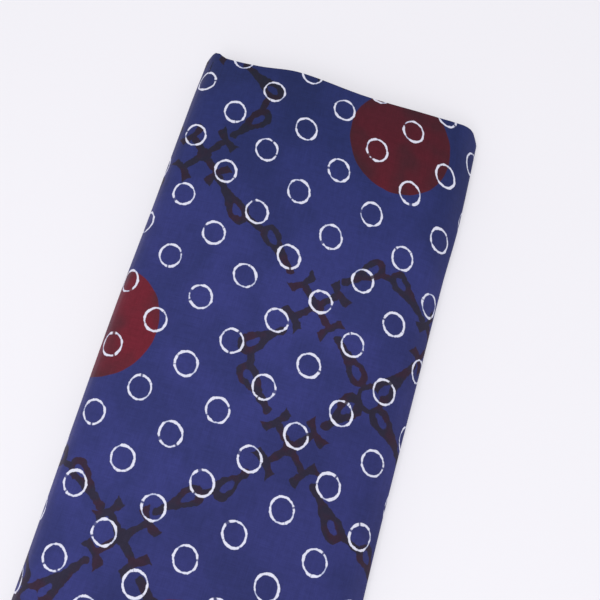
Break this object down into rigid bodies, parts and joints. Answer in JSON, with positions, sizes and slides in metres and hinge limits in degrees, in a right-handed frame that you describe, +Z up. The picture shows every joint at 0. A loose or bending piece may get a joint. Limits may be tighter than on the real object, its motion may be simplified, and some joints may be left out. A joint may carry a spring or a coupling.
{
  "type": "folded printed cotton cloth",
  "caption": "Length of printed cotton cloth folded over and over into a flat oblong pad with rolled long sides and crested ends, lying on a surface.",
  "frame": {"origin": "on the resting plane, under the middle of the pad", "axes": "+Z up, +Y along the pad towards the crested far end, +X across the pad towards the side that the top layer wraps"},
  "size_m": [0.2853, 0.638, 0.0409],
  "materials": {
    "printed_cotton": "matt plain-weave cotton, navy ground with off-white rings, maroon discs and a dark brown trellis"
  },
  "bodies": {
    "root": {"folded_cloth": "printed_cotton"}
  },
  "joints": []
}
